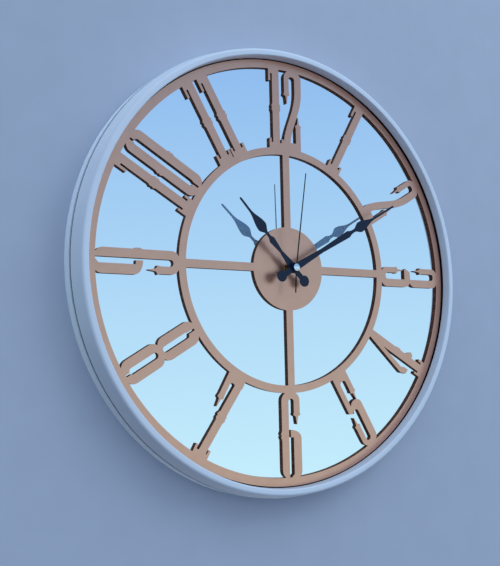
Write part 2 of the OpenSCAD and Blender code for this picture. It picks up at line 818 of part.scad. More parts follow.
// Half widths along a spade hand, from the hub to the tip
function spade(length, at, neck, waist, hub_r) = concat(
    [[0, 0.85 * hub_r], [0.4 * at, waist], [at - 1.1 * knop_back, 0.64 * spade_w],
     [at - knop_back, 0.5 * spade_w], [at - 0.84 * knop_back, 1.15 * neck]],
    [for (i = [0:8]) [at - spade_back * (1 - i / 8), swell(neck, spade_w, i / 8)]],
    [for (i = [7:-1:0]) [at + spade_front * (1 - i / 8), swell(needle_w, spade_w, i / 8)]],
    [[length - needle_w, 0.85 * needle_w], [length, 0.5 * needle_w]]);

// A hand on its hub: a sloping blade, a level tail and a collar for its tube
module spade_hand(angle, rise, hub_r, bore_r, collar, profile) {
    last = len(profile) - 1;
    neck_w = tail_r * 0.5;
    rotate(-angle) difference() {
        union() {
            cylinder(r = hub_r, h = hand_t);
            translate([0, 0, -collar]) cylinder(r = bore_r + collar_w, h = collar + hand_t);
            rotate([rise, 0, 0]) linear_extrude(hand_t) polygon(concat(
                [for (p = profile) [p[1], p[0]]],
                [for (i = [last:-1:0]) [-profile[i][1], profile[i][0]]]));
            linear_extrude(hand_t) {
                bar(-neck_w, neck_w, -tail_len, 0);
                translate([0, -tail_len]) circle(tail_r);
            }
        }
        translate([0, 0, -collar - 1]) cylinder(r = bore_r, h = collar + hand_t + 2);
    }
}

module hour_hand() {
    color("midnightblue") translate([0, 0, hour_hand_z])
        spade_hand(hour_angle, hour_rise, hour_hub_r, hour_tube_r + seat_fit, hour_collar,
            spade(hour_len, 0.6 * hour_len, hour_neck, hour_waist, hour_hub_r));
}

module minute_hand() {
    color("midnightblue") translate([0, 0, minute_hand_z])
        spade_hand(minute_angle, minute_rise, minute_hub_r, minute_tube_r + seat_fit, minute_collar,
            spade(minute_len, 0.645 * minute_len, minute_neck, minute_waist, minute_hub_r));
}

module second_hand() {
    color("dimgray") translate([0, 0, second_hand_z]) rotate(-second_angle) difference() {
        union() {
            translate([0, 0, -second_collar]) cylinder(r = second_hub_r, h = second_collar + second_t);
            rotate([second_rise, 0, 0]) linear_extrude(second_t) polygon([[-second_w / 2, 0],
                [second_w / 2, 0], [second_w / 3, second_len], [-second_w / 3, second_len]]);
            translate([-second_w / 2, -second_tail, 0]) cube([second_w, second_tail, second_t]);
        }
        translate([0, 0, -second_collar - 1]) cylinder(r = arbor_r + seat_fit, h = second_collar + 3);
    }
}

// Polished button that hides the second hand's pipe
module second_cap() {
    z = second_hand_z + second_t + cap_r * tan(second_rise) + seat_fit;
    dome_r = (cap_r * cap_r + cap_h * cap_h) / (2 * cap_h);
    edge = 0.5;
    color("white") translate([0, 0, z]) union() {
        cylinder(r = cap_r, h = edge);
        translate([0, 0, edge]) intersection() {
            cylinder(r = cap_r, h = cap_h);
            translate([0, 0, cap_h - dome_r]) sphere(dome_r);
        }
        translate([0, 0, second_hand_z + second_t + tube_over - z])
            cylinder(r = arbor_r, h = z - second_hand_z - second_t - tube_over + edge);
    }
}

// Movement case

module case_outline(inset, y0, y1) {
    half = case_half - inset;
    soft_square(-half, half, y0 + inset, y1 - inset, case_round - inset / 2);
}

pillar_r = 2;
pillar_x = bay_half - free_fit - pillar_r;
pillar_y = [bay_top + free_fit + pillar_r, pillar_x];

// The pivots of the wheels that turn between the plate and the case floor
module floor_pivots() {
    for (p = [third_at, motion_at, knob_at]) translate(p)
        disc(pivot_r + run_fit, inside_z - 1, inside_z + pivot_depth);
}

module movement_case() {
    color("black") difference() {
        union() {
            difference() {
                translate([0, 0, cover_z]) linear_extrude(floor_z - cover_z)
                    case_outline(0, case_low, case_half);
                translate([0, 0, cover_z - 1]) linear_extrude(inside_z - cover_z + 1)
                    case_outline(case_wall, case_low, case_half);
            }
            translate([-case_half + case_wall / 2, bay_top - case_wall, cover_z])
                cube([2 * case_half - case_wall, case_wall, inside_z - cover_z + floor_t / 2]);
            for (x = [-pillar_x, pillar_x]) for (y = pillar_y) translate([x, y])
                disc(pillar_r, plate_z + plate_t, inside_z + floor_t / 2);
        }
        disc(bush_r + seat_fit, inside_z - 1, floor_z + 1);
        disc(bush_r + bush_flange + seat_fit, inside_z - 1, inside_z + floor_t / 2);
        floor_pivots();
    }
}

// The cover carries posts under the train plate and under the stator
module movement_cover() {
    color("black") difference() {
        union() {
            translate([0, 0, case_z]) linear_extrude(cover_t)
                case_outline(0, bay_top - case_wall, case_half);
            for (p = [[pillar_x, pillar_y[0]], [pillar_x, pillar_y[1]], [-pillar_x, third_at[1]]])
                translate(p) disc(pillar_r, case_z, plate_z);
            for (x = [coil_x0 - lug_w / 2, coil_x1 + lug_w / 2]) translate([x, rotor_at[1]])
                disc(lug_w / 3, case_z, coil_z - sheet_t / 2);
        }
        for (p = [[0, 0], third_at, inter_at, rotor_at]) translate(p)
            disc(pivot_r + run_fit, cover_z - pivot_depth, cover_z + 1);
        translate(knob_at) disc(knob_r + free_fit, case_z - 1, cover_z + 1);
    }
}

// The third wheel's pinion passes through the wide hole when the plate is put on
module train_plate() {
    x = bay_half - free_fit;
    color("ivory") translate([0, 0, plate_z]) difference() {
        linear_extrude(plate_t) soft_square(-x, x, bay_top + free_fit, x, pillar_r);
        translate([0, 0, -1]) {
            cylinder(r = arbor_r + run_fit, h = plate_t + 2);
            for (p = [inter_at, rotor_at, motion_at]) translate(p)
                cylinder(r = pivot_r + run_fit, h = plate_t + 2);
            translate(third_at) cylinder(r = m_centre * teeth_pinion, h = plate_t + 2);
            translate(knob_at) cylinder(r = 2 * pivot_r + run_fit, h = plate_t + 2);
        }
    }
}

module threaded_bush() {
    color("goldenrod") difference() {
        union() {
            disc(bush_r + bush_flange, inside_z, inside_z + floor_t / 2);
            disc(bush_r, inside_z, bush_end);
        }
        disc(hour_tube_r + run_fit, inside_z - 1, bush_end + 1);
    }
}

module gasket() {
    color("dimgray") difference() {
        disc(gasket_r, floor_z, mirror_z);
        disc(bush_r + free_fit / 2, floor_z - 1, mirror_z + 1);
    }
}

module washer() {
    color("goldenrod") difference() {
        disc(nut_af / 2 + 0.8, face_z, face_z + washer_t);
        disc(bush_r + free_fit / 2, face_z - 1, face_z + washer_t + 1);
    }
}

module nut() {
    z = face_z + washer_t;
    color("goldenrod") difference() {
        translate([0, 0, z]) cylinder(r = nut_af / sqrt(3), h = nut_t, $fn = 6);
        disc(bush_r + seat_fit, z - 1, z + nut_t + 1);
    }
}

// Wheels with cycloidal teeth, as clocks have

// Angle by which an epicycloid on radius r0 has turned in when it reaches radius r
function epicycloid(r0, roll, r) =
    let (c = ((r0 + roll) ^ 2 + roll ^ 2 - r ^ 2) / (2 * roll * (r0 + roll)), turn = acos(c))
    turn * roll / r0 - atan2(roll * sin(turn), r0 + roll - roll * c);

// Half a tooth as pairs of radius and half angle: thick with curved tips on a wheel,
// slim with straight flanks on a pinion
function wheel_tooth(n, m, mate) = let (r = n * m / 2, half = wheel_half / n, roll = mate * m / 4)
    [[r - tooth_root * m, half], [r, half],
     for (h = [wheel_tip / 2, wheel_tip]) [r + h * m, half - epicycloid(r, roll, r + h * m)]];
function pinion_tooth(n, m) = let (r = n * m / 2, half = pinion_half / n)
    [[r - tooth_root * m, half], [r, half], [r + pinion_tip * m, half / 2]];

module teeth(n, tooth, phase) {
    last = len(tooth) - 1;
    polygon([for (i = [0:n - 1]) each concat(
        [for (j = [0:last]) polar(tooth[j][0], phase + 360 / n * i - tooth[j][1])],
        [for (j = [last:-1:0]) polar(tooth[j][0], phase + 360 / n * i + tooth[j][1])])]);
}

module wheel(n, m, mate, z, phase) {
    translate([0, 0, z]) linear_extrude(wheel_t) teeth(n, wheel_tooth(n, m, mate), phase);
}

module pinion(n, m, z0, z1, phase) {
    translate([0, 0, z0]) linear_extrude(z1 - z0) teeth(n, pinion_tooth(n, m), phase);
}

// Rest angle of a gear that meshes with another one lying in direction dir from it
function mesh(n_other, phase_other, n, dir) =
    dir + 180 - (phase_other - dir) * n_other / n - 180 / n;

// A pinion stands a little past its wheel's faces on both sides
over = 0.2;

module seconds_wheel() {
    color("ivory") {
        wheel(teeth_seconds, m_seconds, teeth_inter_pinion, seconds_z, 0);
        pinion(teeth_pinion, m_third, seconds_z + wheel_t, third_z + wheel_t + over, 0);
        disc(arbor_r, cover_z - pivot_depth + over, second_hand_z + second_t + tube_over);
    }
}

module third_wheel() {
    color("ivory") translate(third_at) {
        wheel(teeth_third, m_third, teeth_pinion, third_z, mesh(teeth_pinion, 0, teeth_third, third_dir));
        pinion(teeth_pinion, m_centre, centre_z - over, centre_z + wheel_t + over, 0);
        disc(pivot_r, cover_z - pivot_depth + over, inside_z + pivot_depth - over);
    }
}

module centre_wheel() {
    phase = mesh(teeth_pinion, 0, teeth_centre, third_dir + 180);
    color("goldenrod") difference() {
        wheel(teeth_centre, m_centre, teeth_pinion, centre_z, phase);
        disc(minute_tube_r + run_fit, centre_z - 1, centre_z + wheel_t + 1);
    }
}

module intermediate_wheel() {
    color("ivory") translate(inter_at) {
        wheel(teeth_inter, m_inter, teeth_pinion, inter_z, 0);
        pinion(teeth_inter_pinion, m_seconds, inter_z + wheel_t, seconds_z + wheel_t + over,
            mesh(teeth_seconds, 0, teeth_inter_pinion, inter_dir));
        disc(pivot_r, cover_z - pivot_depth + over, plate_z + plate_t - over);
    }
}

module rotor() {
    color("dimgray") translate(rotor_at) {
        pinion(teeth_pinion, m_inter, inter_z - over, inter_z + wheel_t + over,
            mesh(teeth_inter, 0, teeth_pinion, rotor_dir));
        disc(magnet_r, magnet_z0, magnet_z1);
        disc(pivot_r, cover_z - pivot_depth + over, plate_z + plate_t - over);
    }
}

lug_w = 3.2;
lug_half = 1.2;
coil_x0 = -16;
coil_x1 = 6;
cheek_t = 0.8;
cheek_w = 0.3;

// Steel sheet with a hole for the magnet and two lugs that take the coil's core
module stator() {
    low = rotor_at[1] - magnet_r - 4 * free_fit;
    color("silver") translate([0, 0, coil_z - sheet_t / 2]) linear_extrude(sheet_t) difference() {
        union() {
            bar(coil_x0 - lug_w, coil_x1 + lug_w, low, sheet_top);
            for (x = [coil_x0 - lug_w, coil_x1]) bar(x, x + lug_w, low, coil_y + lug_half);
        }
        translate(rotor_at) circle(magnet_r + free_fit);
    }
}

// Copper winding between two cheeks on a flat core that lies on the stator's lugs
module coil() {
    length = coil_x1 - coil_x0 - free_fit;
    color("chocolate") {
        translate([coil_x0 + free_fit / 2, coil_y, coil_z]) rotate([0, 90, 0]) {
            cylinder(r = coil_r - cheek_w, h = length);
            cylinder(r = coil_r, h = cheek_t);
            translate([0, 0, length - cheek_t]) cylinder(r = coil_r, h = cheek_t);
        }
        translate([coil_x0 - lug_w, coil_y - lug_half, coil_z + sheet_t / 2])
            cube([coil_x1 - coil_x0 + 2 * lug_w, 2 * lug_half, sheet_t]);
    }
}

// The board lies on the cover beside the train, the crystal on the board
board_x = -bay_half + free_fit;
board_y = bay_top + free_fit;
pcb_w = 13;
pcb_h = 7.5;
pcb_t = 0.8;
crystal_r = 1;

module circuit_board() {
    chip = 3;
    color("darkgreen") translate([board_x, board_y, cover_z]) {
        cube([pcb_w, pcb_h, pcb_t]);
        translate([pcb_w - chip, chip, pcb_t]) cylinder(r = chip / 2, h = chip / 4);
    }
}

// A small can on a bed of solder
module quartz_crystal() {
    can = 6;
    color("silver") translate([board_x + can / 6, board_y + pcb_h - 2 * crystal_r, cover_z + pcb_t]) {
        translate([0, 0, crystal_r]) rotate([0, 90, 0]) cylinder(r = crystal_r, h = can);
        translate([0, -crystal_r / 2, 0]) cube([can, crystal_r, crystal_r]);
    }
}

module cannon_pinion() {
    shoulder = minute_tube_r + free_fit;
    color("goldenrod") difference() {
        union() {
            pinion(teeth_cannon, m_motion, motion_z, motion_z + wheel_t + over, 0);
            disc(minute_tube_r, centre_z - over, minute_hand_z + hand_t + tube_over);
            disc(shoulder, centre_z + wheel_t + over, motion_z + over);
        }
        disc(arbor_r + run_fit, centre_z - 1, minute_hand_z + hand_t + 1);
    }
}

motion_phase = mesh(teeth_cannon, 0, teeth_motion, motion_dir);

module motion_wheel() {
    color("ivory") translate(motion_at) {
        wheel(teeth_motion, m_motion, teeth_cannon, motion_z, motion_phase);
        pinion(teeth_motion_pinion, m_hour, motion_z + wheel_t, hour_z + wheel_t + over, 0);
        disc(pivot_r, plate_z + over, inside_z + pivot_depth - over);
    }
}

module hour_wheel() {
    color("goldenrod") difference() {
        union() {
            wheel(teeth_hour, m_hour, teeth_motion_pinion, hour_z,
                mesh(teeth_motion_pinion, 0, teeth_hour, motion_dir + 180));
            disc(hour_tube_r, hour_z, hour_hand_z + hand_t + tube_over);
        }
        disc(minute_tube_r + run_fit, hour_z - 1, hour_hand_z + hand_t + 1);
    }
}

// Ribbed knob flush with the cover, its gear meets the motion wheel
module setting_knob() {
    ribs = 18;
    color("black") translate(knob_at) {
        translate([0, 0, case_z]) linear_extrude(cover_t) difference() {
            circle(knob_r);
            for (i = [0:ribs - 1]) rotate(360 / ribs * i) translate([knob_r, 0]) circle(knob_r / 16);
        }
        disc(2 * pivot_r, case_z, motion_z + wheel_t);
        pinion(teeth_cannon, m_motion, motion_z - over, motion_z + wheel_t + over,
            mesh(teeth_motion, motion_phase, teeth_cannon, knob_dir));
        disc(pivot_r, motion_z, inside_z + pivot_depth - over);
    }
}

// Battery and its contacts

module battery() {
    color("darkgoldenrod") translate([-bay_half + leaf_w, bay_y, bay_z]) rotate([0, 90, 0]) {
        cylinder(r = battery_d / 2, h = battery_len);
        cylinder(r = button_d / 2, h = battery_len + button_h);
    }
}

contact_w = battery_d / 2;

module positive_contact() {
    color("silver") translate([bay_half - contact_t, bay_y - contact_w / 2, cover_z])
        cube([contact_t, contact_w, inside_z - cover_z]);
}

// Leaf with a folded tongue that presses on the battery's flat end
module negative_contact() {
    color("silver") translate([-bay_half, bay_y - contact_w / 2, 0]) {
        translate([0, 0, cover_z]) cube([contact_t, contact_w, inside_z - cover_z]);
        translate([0, contact_w / 2, bay_z]) rotate([0, 90, 0])
            cylinder(r1 = contact_w / 3, r2 = contact_w / 5, h = leaf_w);
    }
}

place() front_frame();
place() rear_ring();
place() frame_screws();
place() hanger_plate();
place() hanger_screws();
place() mirror();
place() dial_plate();
place() edge_strip();
place() backing_board();
place() movement_case();
place() movement_cover();
place() threaded_bush();
place() gasket();
place() washer();
place() nut();
place() train_plate();
place() seconds_wheel();
place() third_wheel();
place() centre_wheel();
place() intermediate_wheel();
place() rotor();
place() stator();
place() coil();
place() circuit_board();
place() quartz_crystal();
place() cannon_pinion();
place() motion_wheel();
place() hour_wheel();
place() setting_knob();
place() battery();
place() positive_contact();
place() negative_contact();
place() hour_hand();
place() minute_hand();
place() second_hand();
place() second_cap();
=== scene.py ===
"""Finishes, two shaped pieces and a stage for a mirror wall clock with a cut-out copper-faced dial."""

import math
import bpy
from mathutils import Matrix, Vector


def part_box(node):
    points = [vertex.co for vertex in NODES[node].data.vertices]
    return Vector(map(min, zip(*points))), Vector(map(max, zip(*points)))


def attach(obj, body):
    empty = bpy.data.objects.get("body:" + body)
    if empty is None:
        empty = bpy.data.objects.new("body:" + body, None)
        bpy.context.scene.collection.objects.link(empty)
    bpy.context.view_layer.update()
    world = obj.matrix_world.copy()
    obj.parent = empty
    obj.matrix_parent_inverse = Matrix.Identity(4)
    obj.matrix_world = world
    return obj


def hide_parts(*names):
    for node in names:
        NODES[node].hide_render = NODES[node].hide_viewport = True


bl_info = {
    "name": "Mirror wall clock",
    "version": (1, 0, 0),
    "blender": (4, 5, 0),
    "location": "3D View > Sidebar > Clock",
    "description": "Gives every piece of the clock its finish and sets up a plain stage",
    "category": "Object",
}

import bmesh
import bpy
from mathutils import Matrix, Vector

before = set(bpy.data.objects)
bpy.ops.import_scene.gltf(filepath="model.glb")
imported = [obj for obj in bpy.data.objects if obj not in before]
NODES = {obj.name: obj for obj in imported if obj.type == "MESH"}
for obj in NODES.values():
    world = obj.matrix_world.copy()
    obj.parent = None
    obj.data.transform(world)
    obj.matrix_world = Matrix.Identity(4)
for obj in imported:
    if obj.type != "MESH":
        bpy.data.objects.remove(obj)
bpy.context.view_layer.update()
MM = 0.001
BODY = "clock_body"

# The wall plane is y = 0, and the dial looks along -Y.
RING_LOW, RING_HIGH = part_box("rear_ring")
FRAME_LOW, FRAME_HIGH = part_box("front_frame")
STRIP_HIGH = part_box("edge_strip")[1]
DIAL_LOW, DIAL_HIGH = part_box("dial_plate")
ARBOR = Vector((0, 0, (DIAL_LOW.z + DIAL_HIGH.z) / 2))
DIAL_FRONT = Vector((0, DIAL_LOW.y, ARBOR.z))

# The solid's crest is a round from the opening's wall up to the front, then a quarter ellipse down to
# the side. These are its heights above the wall, its radii and its round.
FRONT = -FRAME_LOW.y
PARTING = -RING_LOW.y
SIDE_FOOT = PARTING + 2.8 * MM
GROOVE_TOP = PARTING + 0.6 * MM
GROOVE_R = RING_HIGH.x - 4 * MM
OPENING_R = 237.6 * MM
CREST_ROUND = 2.4 * MM

# How the shaped pieces are made.
SHARP_EDGE = math.radians(35)
STRIP_STEPS = 240          # round the dial
BEAD_STEPS = 6             # over the bead
STRIP_PLAY = 0.05 * MM     # between the strip and the dial's edge
STRIP_LIFT = 0.02 * MM     # between the dial's face and the bead on it
STRIP_REST = 0.05          # least share of the bead's rise and lap

# How a point or a face of a solid is told from its neighbours.
NEAR = 0.01 * MM           # points this close are one
NEAR_SHARE = 0.001         # how far past its ends a point can lie and still be on the crest
CREST_SHARE = 0.98         # at 1 a point lies on the crest's ellipse
SIDE_SKIN = 1.0 * MM       # points this near the outside belong to the side's foot and the groove
FLAT_NORMAL = 0.7          # faces that look more along Y than this are a front or a back

# Where a pattern goes from one tone to the other, and where the sky's tones lie from straight down to up.
TONE_SPAN = (0.35, 0.65)
CHAR_SPAN = (0.45, 0.85)
AMBIENT_SPAN = (0.3, 0.85)
SKY_HEIGHTS = (0.0, 0.43, 0.68, 1.0)
WALL_GAP = 0.2 * MM        # between the rear ring and the backdrop

# Small inner pieces: two tones, grain in mm, roughness, metallic, and the nodes that are made so.
INNER_FINISHES = {
    # Tumbled after moulding: a dull grey bloom, so the knob stands out from its cover.
    "tumbled_black_abs": ("#2c2f33", "#43474c", 0.8, 0.4, 0.0, ("setting_knob",)),
    # Film shrunk on the cell: smooth, with a soft gloss.
    "shrunk_film_jacket": ("#3f5f78", "#486a84", 6.0, 0.3, 0.0, ("battery",)),
    # Rubber from a plain mould: dull and nearly black.
    "moulded_rubber": ("#17181a", "#26272a", 0.8, 0.75, 0.0, ("gasket",)),
    # Acetal as it leaves the mould: ivory and waxy.
    "moulded_acetal": (
        "#dcd7c6", "#eae6d8", 3.0, 0.4, 0.0,
        ("train_plate", "seconds_wheel", "third_wheel", "intermediate_wheel", "motion_wheel"),
    ),
    # Ferrite pressed and sintered: dark grey with a fine glint.
    "sintered_ferrite": ("#26282b", "#3a3c40", 0.6, 0.5, 0.4, ("rotor",)),
    # Copper wire under its lacquer: reddish, with a bright line on each turn.
    "enamelled_winding": ("#8a3f1c", "#b8602c", 0.4, 0.3, 0.8, ("coil",)),
    # Solder mask on a glass-fibre board: green, with a soft gloss.
    "solder_mask_board": ("#14512d", "#1d6a3c", 1.5, 0.35, 0.0, ("circuit_board",)),
    # A can drawn from nickel-plated sheet: bright and warm grey.
    "drawn_nickel_can": ("#b4b2aa", "#d2d0c8", 1.0, 0.28, 1.0, ("quartz_crystal",)),
}


def linear(code):
    """Turns an sRGB hex colour into the linear RGBA that Blender's sockets hold."""
    values = [int(code[i:i + 2], 16) / 255 for i in (1, 3, 5)]
    return tuple(v / 12.92 if v <= 0.04045 else ((v + 0.055) / 1.055) ** 2.4 for v in values) + (1.0,)


def colour(name, code, about):
    """A colour swatch for the sidebar."""
    return bpy.props.FloatVectorProperty(
        name=name, description=about, subtype="COLOR", size=4, min=0, max=1, default=linear(code)
    )


def length(name, size, about):
    """A length for the sidebar, given in metres."""
    return bpy.props.FloatProperty(name=name, description=about, unit="LENGTH", min=0, default=size)


def angle(name, degrees, about):
    """An angle for the sidebar, given in degrees."""
    return bpy.props.FloatProperty(
        name=name, description=about, subtype="ANGLE", default=math.radians(degrees)
    )


def direction(name, away, about):
    """A direction for the sidebar, seen from the clock."""
    return bpy.props.FloatVectorProperty(name=name, description=about, subtype="DIRECTION", default=away)


def power(name, watts, about):
    """A lamp's power for the sidebar."""
    return bpy.props.FloatProperty(name=name, description=about, subtype="POWER", min=0, default=watts)


class ClockColours(bpy.types.PropertyGroup):
    """Colours of the clock's own pieces."""

    white: colour("White ABS", "#cfdff1", "Moulded frame and rear ring")
    white_dust: colour("Settled dust", "#b4bac2", "Thin film on upward faces of the frame")
    # Dust and painted shade: this grey stands in for the shade in the groove's gap.
    grime_and_shade: colour("Grime", "#929da8", "Dust and shadow in the parting groove")
    copper: colour("Copper foil", "#ebac93", "Face of the dial")
    copper_dark: colour("Darker copper", "#e7a88f", "Mottling in the dial's foil")
    char: colour("Charred edge", "#452b21", "Burnt cut edges of the dial")
    char_light: colour("Scorched edge", "#8f5c45", "Less burnt streaks of the cut edges")
    board: colour("Fibreboard", "#8a6a4a", "Raw board at the back of the dial")
    silver: colour("Silvering", "#f8f9fd", "Reflecting coat of the mirror")
    mirror_paint: colour("Mirror backing paint", "#6f7479", "Edge and back of the mirror")
    enamel: colour("Blue-black enamel", "#08152e", "Front of the hour and minute hands")
    enamel_black: colour("Black enamel", "#090b0e", "Second hand, and the edges of all hands")
    # The primer is lightened to paint in the light that the mirror throws back on the hands.
    primer_and_painted_light: colour("Blue-grey primer", "#8babc6", "Back of the hands")
    # The foam's black is also painted shade: the strip stands in for the dark line in the gap.
    foam_shade_black: colour("Black foam", "#08080a", "Strip between dial and frame")
    chrome: colour("Chrome", "#f2f6fb", "Cap at the centre")
    brass: colour("Brass", "#a89a6e", "Bush, nut, washer and wheels")
    steel: colour("Zinc plated steel", "#b9bcc0", "Screws, hanger, contacts and stator")
    hardboard: colour("Hardboard", "#7a5335", "Board behind the mirror")
    hardboard_dark: colour("Hardboard fibres", "#4e331f", "Darker fibres of the board")
    black: colour("Black ABS", "#141518", "Case and cover of the movement")


class ClockShapes(bpy.types.PropertyGroup):
    """Sizes of the pieces that are shaped here."""

    face_w: length("Face width", 7.2 * MM, "Flat front of the frame, from its inner edge to the shoulder")
    inner_round: length("Inner round", 1.4 * MM, "Rounding of the frame's inner edge")
    shoulder_round: length("Shoulder round", 3.4 * MM, "Rounding between the frame's front and its side")
    step_w: length("Step", 1.0 * MM, "From the frame's side out to the rear ring")
    strip_lap: length("Strip lap", 0.4 * MM, "How far the squeezed strip lies over the dial")
    strip_rise: length("Strip rise", 1.9 * MM, "How far the squeezed strip stands up the frame's wall")
    # The strip swells most on the side where its painted shade line is widest.
    strip_shade_side: angle("Strip side", 75, "Clockwise from twelve to where the strip is squeezed most")


class ClockStage(bpy.types.PropertyGroup):
    """Camera, backdrop and light round the clock."""

    view_azimuth: angle("View azimuth", -32.58, "Camera's angle round the clock, from straight ahead")
    view_elevation: angle("View elevation", -5.82, "Camera's angle above the dial's centre")
    view_roll: angle("View roll", -1.17, "Camera's tilt about its own line of sight")
    view_distance: length("View distance", 0.86666, "From the camera to the point it aims at")
    aim: bpy.props.FloatVectorProperty(
        name="Aim", description="Aimed point on the dial's plane, from its centre", subtype="TRANSLATION",
        unit="LENGTH", default=(-0.05129, 0.0, -0.01783)
    )
    lens: bpy.props.FloatProperty(name="Lens", description="Focal length in mm", default=51.3, min=10)
    wall: colour("Wall", "#aab8cd", "Plain backdrop")
    floor: colour("Floor", "#cfd3d8", "Plain floor below the clock")
    wall_size: length("Wall size", 6.0, "Width and height of the backdrop")
    floor_drop: length("Floor drop", 1.3, "From the clock's centre down to the floor")
    sky_high: colour("Sky overhead", "#92b8de", "What bright surfaces mirror from above")
    sky_mid: colour("Sky", "#94c1f1", "What bright surfaces mirror a little above eye level")
    sky_low: colour("Sky low down", "#caf3ff", "What bright surfaces mirror at eye level")
    ground: colour("Ground", "#dfe9f0", "What bright surfaces mirror from below")
    ambient: colour("Bright side", "#dcebff", "Soft light from the side of the sun")
    ambient_low: colour("Shaded side", "#182b49", "Soft light from the opposite side")
    sunward: direction("Sunward", (0.08, -0.5, 0.86), "Side from which most of the soft light comes")
    ambient_level: bpy.props.FloatProperty(
        name="Ambient level", description="Strength of the soft light", default=1.1, min=0
    )
    lamp_distance: length("Lamp distance", 2.2, "From the dial's centre to each lamp")
    key_side: direction("Key side", (0.55, -0.6, 0.6), "Side from which the key lamp shines")
    key_power: power("Key power", 11.0, "Large soft lamp, upper right")
    key_size: length("Key size", 1.2, "Side of the key lamp")
    key_tint: colour("Key tint", "#eaf6ff", "Light of the key lamp")
    back_side: direction("Back side", (-0.25, 1.0, 0.5), "Side from which the rear lamp shines")
    back_power: power("Back power", 26.0, "Soft lamp for the rear")
    back_size: length("Back size", 1.5, "Side of the rear lamp")
    back_tint: colour("Back tint", "#ffffff", "Light of the rear lamp")


def add(tree, kind, out=None, values=None, **settings):
    """Adds a node, sets its options, fills its sockets with values or links, and gives back one output."""
    node = tree.nodes.new(kind)
    for name, value in settings.items():
        setattr(node, name, value)
    for socket, value in (values or {}).items():
        if isinstance(value, bpy.types.NodeSocket):
            tree.links.new(value, node.inputs[socket])
        else:
            node.inputs[socket].default_value = value
    return node.outputs[out] if out else None


def per_mm(size):
    """Texture scale whose features are about this many millimetres."""
    return 1 / (size * MM)


def waves_per_mm(spacing):
    """Wave texture scale whose bands are this many millimetres apart: its phase turns by 20 in a unit."""
    return per_mm(spacing) * 2 * math.pi / 20


def toned(tone, by):
    """A colour made darker or lighter, as a linear RGBA value."""
    return tuple(v * by for v in tone[:3]) + (1.0,)


def blend(tree, pattern, tones, span=TONE_SPAN):
    """Goes from the first tone to the second where a pattern rises through a span."""
    low, high = span
    share = add(
        tree, "ShaderNodeMapRange", "Result", {"Value": pattern, "From Min": low, "From Max": high}
    )
    return add(
        tree, "ShaderNodeMix", "Result", {"Factor": share, "A": tones[0], "B": tones[1]}, data_type="RGBA"
    )


def start(name):
    """An empty material, with its tree and the place of a surface point on the clock."""
    material = bpy.data.materials.new(name)
    material.use_nodes = True
    material.node_tree.nodes.clear()
    return material, material.node_tree, add(material.node_tree, "ShaderNodeTexCoord", "Object")


def close(material, pattern, values, rough=None, height=None, depth_mm=0.0):
    """Ends a material with its shader: a pattern shifts its roughness, and a height stands out in relief."""
    tree = material.node_tree
    sockets = dict(values)
    if rough:
        low, high = rough
        sockets["Roughness"] = add(
            tree, "ShaderNodeMapRange", "Result", {"Value": pattern, "To Min": low, "To Max": high}
        )
    if height:
        sockets["Normal"] = add(
            tree, "ShaderNodeBump", "Normal", {"Height": height, "Distance": depth_mm * MM}
        )
    shader = add(tree, "ShaderNodeBsdfPrincipled", "BSDF", sockets)
    add(tree, "ShaderNodeOutputMaterial", None, {"Surface": shader})
    return material


def moulded_white_abs(c):
    """White ABS, injection moulded in a satin tool: soft sheen, hardly any grain, thin dust on top."""
    material, tree, place = start("moulded_white_abs")
    cloud = add(tree, "ShaderNodeTexNoise", "Fac", {"Vector": place, "Scale": per_mm(70), "Detail": 3.0})
    # Real spark-eroded grain is about 0.1 mm, and is drawn at 0.9 mm so that it shows.
    fine = add(tree, "ShaderNodeTexNoise", "Fac", {"Vector": place, "Scale": per_mm(0.9), "Detail": 3.0})
    # Dust lies on faces that look up, and more of it where the cloud is thick.
    facing = add(tree, "ShaderNodeNewGeometry", "Normal")
    up = add(tree, "ShaderNodeSeparateXYZ", "Z", {"Vector": facing})
    dusty = add(
        tree, "ShaderNodeMapRange", "Result",
        {"Value": up, "From Min": 0.55, "From Max": 1.0, "To Max": 0.7},
    )
    film = add(tree, "ShaderNodeMath", "Value", {0: dusty, 1: cloud}, operation="MULTIPLY")
    shade = blend(tree, cloud, (toned(c.white, 0.95), tuple(c.white)))
    base = add(
        tree, "ShaderNodeMix", "Result", {"Factor": film, "A": shade, "B": tuple(c.white_dust)},
        data_type="RGBA",
    )
    values = {"Base Color": base, "IOR": 1.53}
    return close(material, cloud, values, rough=(0.28, 0.4), height=fine, depth_mm=0.015)


def groove_dust_and_painted_shade(c):
    """Dust caught in the parting groove, with the groove's shade painted in: dull and grey, so the joint
    reads as a fine line.
    """
    material, tree, place = start("groove_dust_and_painted_shade")
    speck = add(tree, "ShaderNodeTexNoise", "Fac", {"Vector": place, "Scale": per_mm(3), "Detail": 3.0})
    base = blend(tree, speck, (toned(c.grime_and_shade, 0.6), tuple(c.grime_and_shade)))
    return close(material, speck, {"Base Color": base, "Specular IOR Level": 0.1}, rough=(0.85, 1.0))


def rolled_copper_foil(c):
    """Copper-coloured metal foil, rolled satin on the board: broad blurred reflections, slight mottling."""
    material, tree, place = start("rolled_copper_foil")
    mottle = add(tree, "ShaderNodeTexNoise", "Fac", {"Vector": place, "Scale": per_mm(14), "Detail": 3.0})
    # Rolling grain is about 0.05 mm, and is drawn at 0.8 mm so that it shows.
    fine = add(tree, "ShaderNodeTexNoise", "Fac", {"Vector": place, "Scale": per_mm(0.8), "Detail": 3.0})
    base = blend(tree, mottle, (tuple(c.copper_dark), tuple(c.copper)))
    values = {"Base Color": base, "Metallic": 1.0}
    return close(material, mottle, values, rough=(0.31, 0.33), height=fine, depth_mm=0.01)


